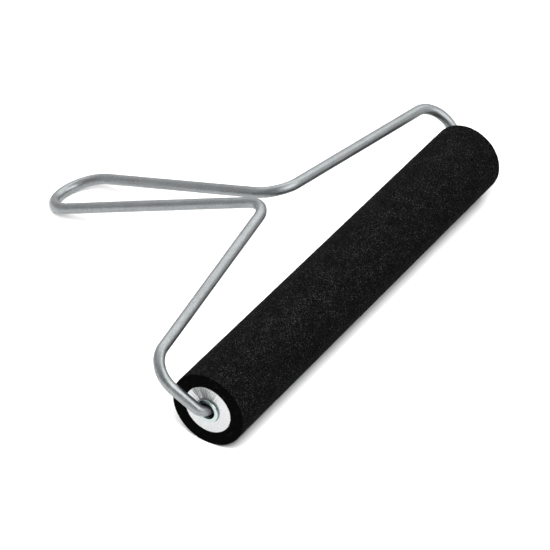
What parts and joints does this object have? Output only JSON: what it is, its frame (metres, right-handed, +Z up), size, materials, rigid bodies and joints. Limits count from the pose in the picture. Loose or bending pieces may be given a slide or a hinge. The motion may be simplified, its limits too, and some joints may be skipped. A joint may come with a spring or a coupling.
{
  "type": "rubber brayer",
  "caption": "Hand roller with a foam-rubber sleeve that spins freely on a yoke and loop handle bent from one steel wire, for pressing or inking flat sheets.",
  "frame": {"origin": "on the table, under the middle of the whole tool's box", "axes": "+X runs along the roller, +Y points from the roller to the rear of the handle, +Z is up with the roller and the rear of the handle resting on z = 0"},
  "size_m": [0.2476, 0.1745, 0.048],
  "materials": {
    "wire_steel": "satin",
    "foam_rubber": "matte",
    "core_plastic": "matte",
    "plate_aluminium": "satin",
    "bush_plated_steel": "polished"
  },
  "bodies": {
    "frame": {"wire_frame": "wire_steel"},
    "roller": {"rubber_sleeve": "foam_rubber", "core_tube": "core_plastic", "end_plate_left": "plate_aluminium", "end_plate_right": "plate_aluminium", "bearing_bush_left": "bush_plated_steel", "bearing_bush_right": "bush_plated_steel"}
  },
  "joints": [
    {"name": "roller_spin", "type": "hinge", "parent": "frame", "child": "roller", "pos_m": [0, -0.06955, 0.0177], "axis": [1, 0, 0], "continuous": true}
  ]
}
